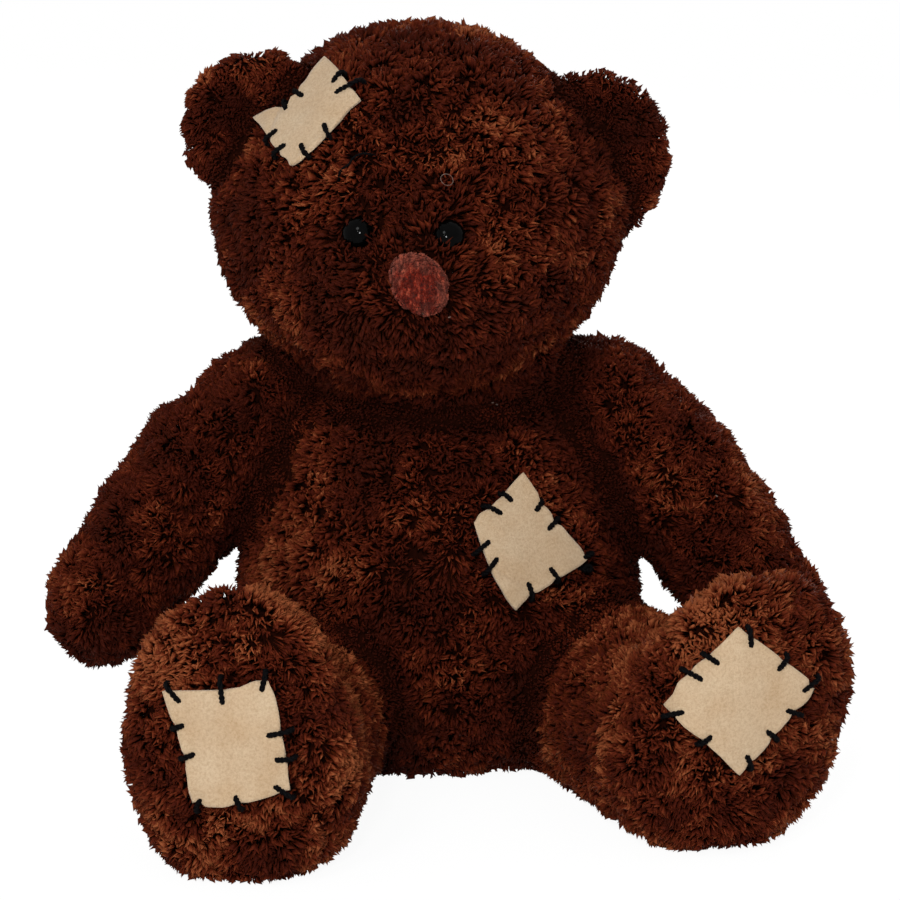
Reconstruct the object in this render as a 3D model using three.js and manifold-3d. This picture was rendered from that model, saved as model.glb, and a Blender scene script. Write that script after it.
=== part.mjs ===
// A seated plush teddy bear with four sewn-on felt patches, in millimetres, +Z up.
// It faces -Y, its own right side is -X, and the origin is the middle of the flat it sits on.

import * as THREE from 'three';
import { mergeVertices } from 'three/addons/utils/BufferGeometryUtils.js';
import Module from 'manifold-3d';

const wasm = await Module();
wasm.setup();
const { Manifold, Mesh: SolidMesh } = wasm;

// Driving dimensions

const gap = 0.3;             // clearance that touching pieces keep
const plush = 7;             // knitted backing and pile together
const seatPlush = 4;         // the same, pressed flat under the bear
const softness = 9;          // how softly one stuffed volume of the head runs into the next
const lumpPitch = 25;        // spacing of the soft lumps of the filling
const lumpHeight = 0.8;

// Each stuffed volume has its width, depth and height. back and rise place it from the middle of its part.

const belly = { width: 116, depth: 108, height: 120, back: -2, rise: 47 };   // the floor cuts its foot off
const chest = { width: 88, depth: 76, height: 64, back: 2 };
const trunkSoftness = 14.4;
const bodyHeight = 116;      // top of the body if the head weren't there
const neckHeight = 104;      // the seam between body and head

const headLift = 56;         // centre of the head above the neck seam
const headShift = [-5.3, -5];  // centre of the head beside and in front of the body's middle
const headTurn = -4;         // degrees, towards the bear's right
const skull = { width: 119, depth: 112, height: 78, back: 2, rise: -2, side: 0 };
const crown = { width: 94, depth: 94, height: 78, back: 3, rise: 11.3, side: 0 };
const jaw = { width: 105, depth: 98.5, height: 72, back: 0, rise: -17.5, side: -0.8 };
const muzzle = { width: 76, depth: 67, height: 56, rise: -20.6, side: 2 };
const muzzleReach = 64;      // from the head's centre to the tip of the muzzle
const neck = { width: 74, depth: 66.6, height: 44, back: 5, side: 4 };
const neckRise = 8;          // middle of the neck above its seam

const earThickness = 15;     // two layers of plush
const earDish = 5.5;         // depth of the hollow in its front
const earRim = 3.5;          // from the edge of the ear to the edge of the hollow
const earHollow = 24;        // depth of the round form that presses the hollow
const earSoftness = 3;

const armLength = 75;        // shoulder to the middle of the paw
const armWidths = [39.5, 40.3, 38.7, 36.5];   // from the shoulder to the paw
const armSoftness = 5;
const shoulderWidth = 93;    // between the two shoulder points
const shoulderHeight = 101;
const shoulderBack = 4;

const legLength = 112;       // hip to sole
const legWidth = 54;         // at the hip
const legSag = 6;            // how far the floor presses into a leg
const legSoftness = 10.8;
const ankleWidth = 60;
const ankleBack = 28.5;      // middle of the ankle behind the sole
const heelSag = 1.5;
const foot = { width: 61, depth: 42, height: 81 };
const footBack = 17.6;       // middle of the foot behind the sole
const soleSoftness = 9;

const eyeWidth = 8.4;
const eyeHeight = 4.6;
const eyeRim = 0.8;          // straight edge under the dome
const eyeSpacing = 26.5;
const eyeDrop = 0.5;         // below the head's centre
const eyeSink = 5;           // from the tips of the pile to the back of the eye
const shankWidth = 3;
const shankSpare = 1.2;      // how far the shank stands out of its washer
const washerWidth = 12;
const washerThickness = 1.5;
const backing = 1.4;         // the knitted cloth between eye and washer

const noseWidth = 17.6;
const noseHeight = 13.8;
const noseThickness = 9;
const noseShift = 5;         // it is sewn on beside the middle
const noseDrop = 13.5;
const noseSkew = 58;         // degrees that its long axis falls to the bear's left
const noseSink = 0.6;

const feltThickness = 1.2;
const threadWidth = 1.3;
const threadClear = 0.45;    // between a stitch and the felt under it
const stitchDip = 0.7;       // how far its outer end drops over the edge of the felt

// Each limb and ear has its own pose. Angles are in degrees.

const ears = {
  right: { side: -1, out: 46.5, forward: 11, up: 23, width: 36, height: 44, face: -6, roll: 36 },
  left: { side: 1, out: 52, forward: -3, up: 14.5, width: 37, height: 48, face: 12, roll: -16 },
};

const arms = {
  right: { side: -1, droop: [42, 51, 55], forward: 12 },
  left: { side: 1, droop: [45, 53, 53], forward: 14 },
};

const legs = {
  right: { side: -1, hipOut: 36.5, hipForward: 22.5, yaw: 8, lean: 3 },
  left: { side: 1, hipOut: 38, hipForward: 3, yaw: 21.5, lean: 26 },
};

// A patch is cut to the outline that its corners give, in its own plane, starting at the top corner and
// going round by the bear's left. waist is how far each side is drawn in at its middle. A stitch is
// [side, share of the side, lean in degrees, length, how far its middle lies outside the edge].

const patches = {
  head: {
    on: 'head', at: [-42, 34.5], facing: [-28, 24],
    corners: [[1.6, 15.7], [16, 3.4], [-1.4, -16.3], [-16.2, -2.8]],
    waist: [0, 0, 0, 3.2],
    stitches: [
      [0, 0.4, -3, 4.4, -0.6], [0, 0.68, 20, 8, 0.2], [1, 0.46, 12, 5, 0], [1, 0.77, 7, 6.4, 0.5],
      [2, 0.3, -8, 5, 0], [2, 0.54, -5, 5.2, -0.2], [3, 0.38, 20, 4, -0.6], [3, 0.58, -10, 4, -0.6],
    ],
  },
  belly: {
    on: 'body', at: [28, 7],
    corners: [[3, 18.4], [16.7, -5.9], [-3.5, -18.5], [-16.2, 6]],
    waist: [0.8, 0, 0, 0.6],
    stitches: [
      [0, 0.33, -26, 4.6, -1.2], [0, 0.58, 0, 5.7, -0.8], [0, 0.97, 24, 4.8, 1.6],
      [1, 0.43, 0, 5.2, -1], [1, 0.77, 12, 5.4, -1], [2, 0.52, -12, 5.4, 0.8],
      [2, 0.74, 0, 5.4, 0.6], [3, 0.36, -14, 5.6, -0.6], [3, 0.62, 0, 4.4, -0.6],
    ],
  },
  rightSole: {
    on: 'rightLeg', at: [2, 24],
    corners: [[-17.5, 13.1], [10.6, 16.3], [16, -11.8], [-9.1, -17.6]],
    waist: [0.5, 0.3, 0, 0.8],
    stitches: [
      [0, 0.08, -34, 6.2, 0], [0, 0.55, -2, 7, 0.4], [0, 0.93, 24, 5.4, 0], [1, 0.45, 2, 6.6, 0],
      [1, 0.69, 8, 5.6, 0], [2, 0.08, -40, 6.4, 0.4], [2, 0.55, -12, 4.6, 0.3],
      [2, 0.93, 30, 4.8, 0.2], [3, 0.44, 2, 4.8, -0.3], [3, 0.69, 2, 4.2, -0.2],
    ],
  },
  leftSole: {
    on: 'leftLeg', at: [-16, 26],
    corners: [[-0.1, 18.9], [22, 1.2], [-0.4, -20], [-21.5, -0.1]],
    waist: [0, 0.5, 0.4, 0],
    stitches: [
      [0, 0.12, -30, 5.4, 0], [0, 0.54, 0, 5, 0], [0, 0.92, 26, 6.4, 0], [1, 0.3, -24, 5.8, 0.6],
      [1, 0.58, -14, 5.2, 0], [1, 0.88, 12, 5.4, -0.2], [2, 0.5, 16, 4.2, 0],
      [2, 0.88, 36, 6.2, -0.2], [3, 0.42, -14, 5.2, -0.4], [3, 0.64, -8, 4.4, -0.4],
    ],
  },
};

const fineness = { trunk: 7, limb: 5, fill: 3, headFill: 4, ear: 5, nose: 3, patch: 7, round: 14 };

// Small helpers

const vec = (x, y, z) => new THREE.Vector3(x, y, z);
const angle = THREE.MathUtils.degToRad;

function placed(x, y, z, turn = 0, roll = 0, tilt = 0) {
  const turned = new THREE.Euler(angle(tilt), angle(roll), angle(turn), 'ZYX');
  return new THREE.Matrix4().makeRotationFromEuler(turned).setPosition(x, y, z);
}

function direction(azimuth, elevation) {
  const flat = Math.cos(angle(elevation));
  return vec(Math.sin(angle(azimuth)) * flat, -Math.cos(angle(azimuth)) * flat, Math.sin(angle(elevation)));
}

// A stuffed form is a soft union of puffs and bolsters, given by how far a point is outside it.

function puff(frame, at, { width, depth, height }) {
  const inverse = frame.clone().multiply(placed(...at)).invert();
  const half = vec(width / 2, depth / 2, height / 2);
  return (point) => {
    const q = point.clone().applyMatrix4(inverse).divide(half);
    const near = q.length();
    return near < 1e-6 ? -half.x : (near * (near - 1)) / q.divide(half).length();
  };
}

function bolster(frame, from, to, fromWidth, toWidth) {
  const start = vec(...from).applyMatrix4(frame);
  const along = vec(...to).applyMatrix4(frame).sub(start);
  return (point) => {
    const offset = point.clone().sub(start);
    const share = THREE.MathUtils.clamp(offset.dot(along) / along.lengthSq(), 0, 1);
    const width = THREE.MathUtils.lerp(fromWidth, toWidth, share);
    return offset.addScaledVector(along, -share).length() - width / 2;
  };
}

function softMin(a, b, blend) {
  const share = THREE.MathUtils.clamp(0.5 + (b - a) / (2 * blend), 0, 1);
  return THREE.MathUtils.lerp(b, a, share) - blend * share * (1 - share);
}

const softMax = (a, b, blend) => -softMin(-a, -b, blend);

function joined(shapes, blend = softness) {
  return (point) => shapes.map((shape) => shape(point)).reduce((a, b) => softMin(a, b, blend));
}

function lumps(point) {
  const k = (2 * Math.PI) / lumpPitch;
  const across = Math.sin(point.x * k + 1.3) * Math.sin(point.y * k + 0.4);
  const up = Math.sin(point.z * k * 0.9 + point.x * k * 0.5);
  return (lumpHeight * (across + up)) / 2;
}

const stuffed = (shape) => (point) => shape(point) + lumps(point);

// Distance along a ray from the middle of a form to its skin, grown or shrunk by an allowance

function reach(form, toward, allowance) {
  const outside = (t) => form.shape(form.hub.clone().addScaledVector(toward, t)) - allowance;
  const step = form.span / 60;
  let far = form.span;
  while (far > step && outside(far - step) > 0) far -= step;
  let near = Math.max(far - step, 0);
  for (let i = 0; i < 22; i++) {
    const middle = (near + far) / 2;
    if (outside(middle) > 0) far = middle;
    else near = middle;
  }
  return (near + far) / 2;
}

function toSolid(geometry) {
  const bare = geometry.clone();
  bare.deleteAttribute('normal');
  bare.deleteAttribute('uv');
  const merged = mergeVertices(bare, 1e-4);
  const index = [...merged.index.array];
  const kept = [];
  for (let i = 0; i < index.length; i += 3) {
    const [a, b, c] = index.slice(i, i + 3);
    if (a !== b && b !== c && c !== a) kept.push(a, b, c);
  }
  const vertProperties = new Float32Array(merged.attributes.position.array);
  return new Manifold(new SolidMesh({ numProp: 3, vertProperties, triVerts: new Uint32Array(kept) }));
}

function inflated(form, detail, allowance = 0) {
  const ball = new THREE.IcosahedronGeometry(1, detail);
  const bare = ball.deleteAttribute('normal').deleteAttribute('uv') && mergeVertices(ball, 1e-4);
  bare.applyMatrix4(form.rays);
  const position = bare.attributes.position;
  for (let i = 0; i < position.count; i++) {
    const toward = new THREE.Vector3().fromBufferAttribute(position, i).normalize();
    const skin = form.hub.clone().addScaledVector(toward, reach(form, toward, allowance));
    position.setXYZ(i, skin.x, skin.y, skin.z);
  }
  return toSolid(bare);
}

// The rays of a long form are drawn out along it, so that its ends don't take more triangles than its sides.

const hubRise = 3;           // a bent limb's rays start a little over its middle line
const roundRays = new THREE.Matrix4();

function longRays(axis, stretch) {
  const turned = new THREE.Quaternion().setFromUnitVectors(vec(0, 0, 1), axis.clone().normalize());
  return new THREE.Matrix4().makeRotationFromQuaternion(turned).scale(vec(1, 1, stretch));
}

const blockSize = 700;
const block = (z) => toSolid(new THREE.BoxGeometry(blockSize, blockSize, blockSize).translate(0, 0, z));
const below = (height) => block(height - blockSize / 2);
const above = (height) => block(height + blockSize / 2);

function toGeometry(solid) {
  const mesh = solid.getMesh();
  const geometry = new THREE.BufferGeometry();
  geometry.setAttribute('position', new THREE.Float32BufferAttribute(mesh.vertProperties, 3));
  geometry.setIndex([...mesh.triVerts]);
  geometry.computeVertexNormals();
  return geometry;
}

// Materials

const finish = (color, roughness) => () => new THREE.MeshStandardMaterial({ color, roughness, metalness: 0 });
const finishes = {
  plush: finish(0x4a2413, 0.95),
  fibre: finish(0xe4ded2, 1),
  eye: finish(0x0a0908, 0.08),
  washer: finish(0xd8d8d4, 0.5),
  nose: finish(0xa0655a, 0.9),
  felt: finish(0xd8c4a0, 0.95),
  thread: finish(0x0c0b0b, 0.7),
};

const bear = new THREE.Group();
bear.name = 'teddy_bear';

function addPiece(name, solid, makeFinish) {
  const piece = new THREE.Mesh(toGeometry(solid), makeFinish());
  piece.name = name;
  bear.add(piece);
}

// Forms: body, head, ears, arms and legs

const world = new THREE.Matrix4();
const chestRise = bodyHeight - chest.height / 2;

const bodyForm = {
  hub: vec(0, 0, (belly.rise + chestRise) / 2),
  span: bodyHeight * 1.2,
  rays: roundRays,
  shape: stuffed(joined([
    puff(world, [0, belly.back, belly.rise], belly),
    puff(world, [0, chest.back, chestRise], chest),
  ], trunkSoftness)),
};

const headFrame = placed(headShift[0], headShift[1], neckHeight + headLift, headTurn);
const ballOfHead = (ball) => puff(headFrame, [ball.side, ball.back, ball.rise], ball);

const headForm = {
  hub: vec(0, 0, 0).applyMatrix4(headFrame),
  span: skull.width,
  rays: roundRays,
  shape: stuffed(joined([
    ballOfHead(skull),
    ballOfHead(crown),
    ballOfHead(jaw),
    ballOfHead({ ...muzzle, back: muzzle.depth / 2 - muzzleReach }),
    ballOfHead({ ...neck, rise: neckRise - headLift }),
  ])),
};

function earForm(ear) {
  const pose = placed(ear.side * ear.out, -ear.forward, ear.up, ear.face, ear.roll);
  const frame = headFrame.clone().multiply(pose);
  const plate = puff(frame, [0, 0, 0], { ...ear, depth: earThickness });
  const hollowSize = { width: ear.width - 2 * earRim, depth: earHollow, height: ear.height - 2 * earRim };
  const hollow = puff(frame, [0, earDish - (earThickness + earHollow) / 2, 0], hollowSize);
  return {
    hub: vec(0, earThickness * 0.2, 0).applyMatrix4(frame),
    span: ear.height,
    rays: roundRays,
    shape: (point) => softMax(plate(point), -hollow(point), earSoftness),
  };
}

function armForm(arm) {
  const step = armLength / arm.droop.length;
  const spine = [[(arm.side * shoulderWidth) / 2, shoulderBack, shoulderHeight]];
  for (const droop of arm.droop) {
    const [x, y, z] = spine.at(-1);
    const out = arm.side * Math.cos(angle(droop)) * step;
    spine.push([x + out, y - Math.sin(angle(arm.forward)) * step, z - Math.sin(angle(droop)) * step]);
  }
  const sleeves = arm.droop.map((_, i) => {
    return bolster(world, spine[i], spine[i + 1], armWidths[i], armWidths[i + 1]);
  });
  const start = vec(...spine[0]);
  const end = vec(...spine.at(-1));
  return {
    hub: start.clone().lerp(end, 0.5).add(vec(0, 0, hubRise)),
    span: armLength,
    rays: longRays(end.sub(start), 1.9),
    shape: stuffed(joined(sleeves, armSoftness)),
  };
}

function legFrame(leg) {
  const hip = [leg.side * leg.hipOut, -leg.hipForward, legWidth / 2 - legSag];
  return placed(hip[0], hip[1], hip[2], leg.side * leg.yaw, leg.side * leg.lean);
}

function legForm(leg) {
  const frame = legFrame(leg);
  const footLift = foot.height / 2 - heelSag - (legWidth / 2 - legSag);
  const ankle = [0, ankleBack - legLength, (ankleWidth - legWidth) / 2];
  const soft = joined([
    bolster(frame, [0, 0, 0], ankle, legWidth, ankleWidth),
    puff(frame, [0, footBack - legLength, footLift], foot),
  ], legSoftness);
  const sole = vec(0, -legLength, 0).applyMatrix4(frame);
  const ahead = vec(0, -1, 0).transformDirection(frame);
  const flat = (point) => point.clone().sub(sole).dot(ahead);
  return {
    hub: vec(0, -legLength * 0.68, hubRise).applyMatrix4(frame),
    span: legLength,
    rays: longRays(ahead, 1.25),
    shape: stuffed((point) => softMax(soft(point), flat(point), soleSoftness)),
  };
}

// Covers are shells of plush, open where they are sewn to their neighbour, and filled with fibre.

const floor = below(0);
const pressed = below(seatPlush);
const bodyKeepOut = inflated(bodyForm, fineness.trunk, gap);
const headKeepOut = inflated(headForm, fineness.trunk, gap);

function skins(form, detail, innerDetail) {
  const outside = inflated(form, detail).subtract(floor);
  const inside = inflated(form, innerDetail, -plush).subtract(pressed);
  const fill = inflated(form, innerDetail, -plush - gap).subtract(below(seatPlush + gap));
  return { cover: outside.subtract(inside), fill };
}

const bodySkins = skins(bodyForm, fineness.trunk, fineness.fill);
addPiece('body_cover', bodySkins.cover.subtract(above(neckHeight)), finishes.plush);
addPiece('body_fill', bodySkins.fill.subtract(above(neckHeight)), finishes.fibre);

for (const [name, leg] of Object.entries(legs)) {
  leg.form = legForm(leg);
  const { cover, fill } = skins(leg.form, fineness.limb, fineness.limb);
  addPiece(`leg_${name}_cover`, cover.subtract(bodyKeepOut), finishes.plush);
  addPiece(`leg_${name}_fill`, fill.subtract(bodyKeepOut), finishes.fibre);
}

for (const [name, arm] of Object.entries(arms)) {
  const { cover, fill } = skins(armForm(arm), fineness.limb, fineness.fill);
  const keepOut = bodyKeepOut.add(headKeepOut);
  addPiece(`arm_${name}_cover`, cover.subtract(keepOut), finishes.plush);
  addPiece(`arm_${name}_fill`, fill.subtract(keepOut), finishes.fibre);
}

// Eyes: a dome on a shank that goes through the head cover into a washer behind it

function lathe(outline) {
  return new THREE.LatheGeometry(outline.map(([r, y]) => new THREE.Vector2(r, y)), fineness.round);
}

function domeArc(width, height, base) {
  const steps = 5;
  return Array.from({ length: steps + 1 }, (_, i) => {
    const turn = (i / steps) * (Math.PI / 2);
    return [i === steps ? 0 : (Math.cos(turn) * width) / 2, base + Math.sin(turn) * (height - base)];
  });
}

const seatDepth = backing + gap;
const shankEnd = seatDepth + washerThickness + shankSpare;
const socketTop = 2 * eyeSink;   // well clear of the pile
const eyeOutline = [
  [0, -shankEnd], [shankWidth / 2, -shankEnd], [shankWidth / 2, 0], [eyeWidth / 2, 0],
  ...domeArc(eyeWidth, eyeHeight, eyeRim),
];
const socketOutline = [
  [0, -shankEnd - gap], [washerWidth / 2 + gap, -shankEnd - gap], [washerWidth / 2 + gap, -seatDepth + gap],
  [shankWidth / 2 + gap, -seatDepth + gap], [shankWidth / 2 + gap, -gap], [eyeWidth / 2 + gap, -gap],
  [eyeWidth / 2 + 3 * gap, socketTop], [0, socketTop],
];
const washerOutline = [
  [shankWidth / 2 + gap, -seatDepth], [shankWidth / 2 + gap, -seatDepth - washerThickness],
  [washerWidth / 2, -seatDepth - washerThickness], [washerWidth / 2, -seatDepth],
  [shankWidth / 2 + gap, -seatDepth],
];

// The point where a line that comes from in front meets a form, and the way that the form faces there

function landing(shape, from, toward) {
  const step = 0.5;
  let near = 0;
  while (near < blockSize && shape(from.clone().addScaledVector(toward, -near - step)) > 0) near += step;
  let far = near + step;
  for (let i = 0; i < 16; i++) {
    const middle = (near + far) / 2;
    if (shape(from.clone().addScaledVector(toward, -middle)) > 0) near = middle;
    else far = middle;
  }
  const point = from.clone().addScaledVector(toward, -far);
  const slope = ['x', 'y', 'z'].map((axis) => {
    const shifted = point.clone();
    shifted[axis] += 0.4;
    return shape(shifted) - shape(point);
  });
  return { point, normal: vec(...slope).normalize() };
}

function faceSpot(across, up) {
  const from = vec(across, -skull.depth, up).applyMatrix4(headFrame);
  return landing(headForm.shape, from, vec(0, -1, 0).transformDirection(headFrame));
}

let headCover = inflated(headForm, fineness.trunk).subtract(inflated(headForm, fineness.headFill, -plush));
let headFill = inflated(headForm, fineness.headFill, -plush - gap);

for (const [name, side] of [['right', -1], ['left', 1]]) {
  const spot = faceSpot((side * eyeSpacing) / 2, -eyeDrop);
  const turned = new THREE.Quaternion().setFromUnitVectors(vec(0, 1, 0), spot.normal);
  const seat = spot.point.clone().addScaledVector(spot.normal, -eyeSink);
  const place = new THREE.Matrix4().compose(seat, turned, vec(1, 1, 1));
  const socket = toSolid(lathe(socketOutline).applyMatrix4(place));
  headCover = headCover.subtract(socket);
  headFill = headFill.subtract(socket);
  addPiece(`eye_${name}`, toSolid(lathe(eyeOutline).applyMatrix4(place)), finishes.eye);
  addPiece(`eye_washer_${name}`, toSolid(lathe(washerOutline).applyMatrix4(place)), finishes.washer);
}

// Nose: a flocked oval pad, bedded in the pile of the muzzle

function nosePad(allowance) {
  const spot = faceSpot(noseShift, -noseDrop);
  const turned = new THREE.Quaternion().setFromUnitVectors(vec(0, -1, 0), spot.normal);
  const size = [noseWidth, noseThickness, noseHeight].map((width) => width / 2 + allowance);
  const middle = spot.point.clone().addScaledVector(spot.normal, -noseSink);
  const pad = new THREE.IcosahedronGeometry(1, fineness.nose).scale(...size).rotateY(angle(noseSkew));
  return toSolid(pad.applyMatrix4(new THREE.Matrix4().compose(middle, turned, vec(1, 1, 1))));
}

headCover = headCover.subtract(nosePad(gap));
addPiece('nose', nosePad(0), finishes.nose);
addPiece('head_cover', headCover.subtract(below(neckHeight + gap)), finishes.plush);
addPiece('head_fill', headFill.subtract(below(neckHeight + gap)), finishes.fibre);

// Ears

for (const [name, ear] of Object.entries(ears)) {
  ear.form = earForm(ear);
  addPiece(`ear_${name}`, inflated(ear.form, fineness.ear).subtract(headKeepOut), finishes.plush);
}

// Patches of felt, laid on the pile, each with its own plane to measure in. The one on the head also
// covers the foot of the ear.

const seamSoftness = 7.2;    // how softly the head runs into the foot of the ear under the patch
const earFoot = joined([headForm.shape, ears.right.form.shape], seamSoftness);

const carriers = {
  head: { form: headForm, frame: headFrame, ground: earFoot },
  body: { form: bodyForm, frame: world },
  rightLeg: { form: legs.right.form, frame: legFrame(legs.right) },
  leftLeg: { form: legs.left.form, frame: legFrame(legs.left) },
};

function layPatch(patch) {
  const { form, frame } = carriers[patch.on];
  const toward = direction(...patch.at).transformDirection(frame);
  const spot = landing(form.shape, form.hub.clone().addScaledVector(toward, form.span), toward);
  const normal = patch.facing ? direction(...patch.facing) : spot.normal;
  const right = vec(0, 0, 1).cross(normal).normalize();
  Object.assign(patch, { centre: spot.point, normal, right, upward: normal.clone().cross(right) });
}

function patchSpot(patch, across, up) {
  const { ground, form } = carriers[patch.on];
  const from = patch.centre.clone().addScaledVector(patch.normal, form.span / 4);
  from.addScaledVector(patch.right, across).addScaledVector(patch.upward, up);
  return landing(ground ?? form.shape, from, patch.normal);
}

// A point on a side of the outline, and the way out of the outline there

function onSide(patch, side, share) {
  const from = new THREE.Vector2(...patch.corners[side]);
  const to = new THREE.Vector2(...patch.corners[(side + 1) % 4]);
  const along = to.clone().sub(from).normalize();
  const out = new THREE.Vector2(-along.y, along.x);
  const drawn = patch.waist[side] * Math.sin(Math.PI * share) ** 2;
  return { point: from.lerp(to, share).addScaledVector(out, -drawn), out, along };
}

// Coons surface between the four drawn-in sides

function onPatch(patch, s, t) {
  const top = onSide(patch, 0, s).point;
  const bottom = onSide(patch, 2, 1 - s).point;
  const rightSide = onSide(patch, 1, t).point;
  const leftSide = onSide(patch, 3, 1 - t).point;
  const corners = patch.corners.map((corner) => new THREE.Vector2(...corner));
  const across = top.lerp(bottom, t).add(leftSide.lerp(rightSide, s));
  const flat = corners[0].lerp(corners[1], s).lerp(corners[3].lerp(corners[2], s), t);
  return across.sub(flat);
}

function patchSolid(patch) {
  const n = fineness.patch;
  const sheet = new THREE.BoxGeometry(1, 1, 1, n, n, 1).deleteAttribute('normal').deleteAttribute('uv');
  const position = sheet.attributes.position;
  for (let i = 0; i < position.count; i++) {
    const [s, t] = [position.getX(i) + 0.5, 0.5 - position.getY(i)];
    const flat = onPatch(patch, s, t);
    const spot = patchSpot(patch, flat.x, flat.y);
    const lift = gap + (position.getZ(i) + 0.5) * feltThickness;
    const point = spot.point.addScaledVector(spot.normal, lift);
    position.setXYZ(i, point.x, point.y, point.z);
  }
  return toSolid(sheet);
}

// A stitch is a thread that comes out of the felt, crosses its edge and dips into the pile.

function stitchSolid(patch, [side, share, lean, length, outside]) {
  const edge = onSide(patch, side, share);
  const way = edge.out.clone().rotateAround(new THREE.Vector2(), angle(-lean));
  const level = gap + feltThickness + threadClear + threadWidth / 2;
  const points = [[-0.5, 0], [-0.1, 0], [0.25, 0], [0.5, stitchDip]].map(([part, dip]) => {
    const flat = edge.point.clone().addScaledVector(way, part * length + outside);
    const spot = patchSpot(patch, flat.x, flat.y);
    return spot.point.addScaledVector(spot.normal, level - dip);
  });
  const section = new THREE.Shape();
  const sides = 5;
  for (let i = 0; i < sides; i++) {
    const turn = (i / sides) * 2 * Math.PI;
    const corner = [(Math.cos(turn) * threadWidth) / 2, (Math.sin(turn) * threadWidth) / 2];
    if (i === 0) section.moveTo(...corner);
    else section.lineTo(...corner);
  }
  const path = new THREE.CatmullRomCurve3(points);
  return toSolid(new THREE.ExtrudeGeometry(section, { steps: 3, bevelEnabled: false, extrudePath: path }));
}

const patchNames = {
  head: ['head_patch', 'head_stitch'],
  belly: ['belly_patch', 'belly_stitch'],
  rightSole: ['foot_patch_right', 'foot_right_stitch'],
  leftSole: ['foot_patch_left', 'foot_left_stitch'],
};

for (const [key, patch] of Object.entries(patches)) {
  const [patchName, stitchName] = patchNames[key];
  layPatch(patch);
  addPiece(patchName, patchSolid(patch), finishes.felt);
  patch.stitches.forEach((stitch, i) => {
    addPiece(`${stitchName}_${i + 1}`, stitchSolid(patch, stitch), finishes.thread);
  });
}

export default bear;
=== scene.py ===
# A seated plush bear with four sewn-on felt patches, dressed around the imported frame.
# Everything is in metres. The bear faces -Y and its own right side is -X.

import math

import bmesh
import bpy
from mathutils import Matrix, Vector, noise
from mathutils.bvhtree import BVHTree


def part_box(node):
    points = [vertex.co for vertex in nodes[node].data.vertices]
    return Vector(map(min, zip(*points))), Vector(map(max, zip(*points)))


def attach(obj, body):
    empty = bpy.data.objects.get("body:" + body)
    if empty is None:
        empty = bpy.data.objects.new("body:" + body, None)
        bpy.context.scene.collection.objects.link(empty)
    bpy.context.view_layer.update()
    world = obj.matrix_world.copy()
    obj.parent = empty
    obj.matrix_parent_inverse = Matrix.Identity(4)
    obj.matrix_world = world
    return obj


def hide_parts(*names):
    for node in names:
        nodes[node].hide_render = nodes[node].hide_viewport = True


mm = 0.001
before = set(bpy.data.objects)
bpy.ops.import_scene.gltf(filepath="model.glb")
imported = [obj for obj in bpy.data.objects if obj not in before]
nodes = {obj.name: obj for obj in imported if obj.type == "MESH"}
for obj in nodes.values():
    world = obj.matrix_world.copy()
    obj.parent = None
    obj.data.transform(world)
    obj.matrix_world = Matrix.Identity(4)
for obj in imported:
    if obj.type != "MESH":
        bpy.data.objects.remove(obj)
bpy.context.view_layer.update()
scene = bpy.context.scene
weldDistance = 1e-6


# Small helpers

def boxMiddle(name):
    low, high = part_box(name)
    return (low + high) / 2


def addObject(name, mesh):
    piece = bpy.data.objects.new(name, mesh)
    scene.collection.objects.link(piece)
    return piece


def meshOf(name, bm):
    mesh = bpy.data.meshes.new(name)
    bm.to_mesh(mesh)
    bm.free()
    return mesh


def addNode(tree, kind, inputs=None, **settings):
    node = tree.nodes.new(kind)
    for setting, value in settings.items():
        setattr(node, setting, value)
    for socket, value in (inputs or {}).items():
        if isinstance(value, bpy.types.NodeSocket):
            tree.links.new(value, node.inputs[socket])
        else:
            node.inputs[socket].default_value = value
    return node


def result(*node, **settings):
    return addNode(*node, **settings).outputs[0]


def shaped(tree, kind, *inputs, **settings):
    return result(tree, "GeometryNode" + kind, *inputs, **settings)


def calc(tree, operation, *values, clamp=False):
    return result(tree, "ShaderNodeMath", dict(enumerate(values)), operation=operation, use_clamp=clamp)


def plus(tree, first, second, clamp=False):
    return calc(tree, "ADD", first, second, clamp=clamp)


def minus(tree, first, second, clamp=False):
    return calc(tree, "SUBTRACT", first, second, clamp=clamp)


def times(tree, first, second):
    return calc(tree, "MULTIPLY", first, second)


def vectorCalc(tree, operation, *values):
    node = addNode(tree, "ShaderNodeVectorMath", dict(enumerate(values)), operation=operation)
    return node.outputs["Value" if operation == "LENGTH" else "Vector"]


def vectorPlus(tree, first, second):
    return vectorCalc(tree, "ADD", first, second)


def scaled(tree, vector, share):
    return result(tree, "ShaderNodeVectorMath", {0: vector, "Scale": share}, operation="SCALE")


def mixColours(tree, share, first, second, blend="MIX"):
    inputs = {0: share, 6: first, 7: second}
    return addNode(tree, "ShaderNodeMix", inputs, data_type="RGBA", blend_type=blend).outputs[2]


def fromTo(tree, value, low, high, first=0.0, last=1.0):
    return result(tree, "ShaderNodeMapRange", {0: value, 1: low, 2: high, 3: first, 4: last})


def partsOf(tree, vector):
    return addNode(tree, "ShaderNodeSeparateXYZ", {0: vector}).outputs


def vectorOf(tree, x, y=0.0, z=0.0):
    return result(tree, "ShaderNodeCombineXYZ", {0: x, 1: y, 2: z})


def ramp(tree, share, stops):
    node = addNode(tree, "ShaderNodeValToRGB", {0: share})
    colours = node.color_ramp
    colours.elements[0].position, colours.elements[0].color = stops[0]
    colours.elements[1].position, colours.elements[1].color = stops[-1]
    for position, colour in stops[1:-1]:
        colours.elements.new(position).color = colour
    return node.outputs[0]


# sRGB 0 to 255 as a linear colour
def rgb(red, green, blue):
    return tuple(((c / 255 + 0.055) / 1.055) ** 2.4 if c > 10 else c / 255 / 12.92
                 for c in (red, green, blue)) + (1.0,)


def newMaterial(name):
    material = bpy.data.materials.new(name)
    material.use_nodes = True
    tree = material.node_tree
    return material, tree, tree.nodes["Principled BSDF"]


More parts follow.
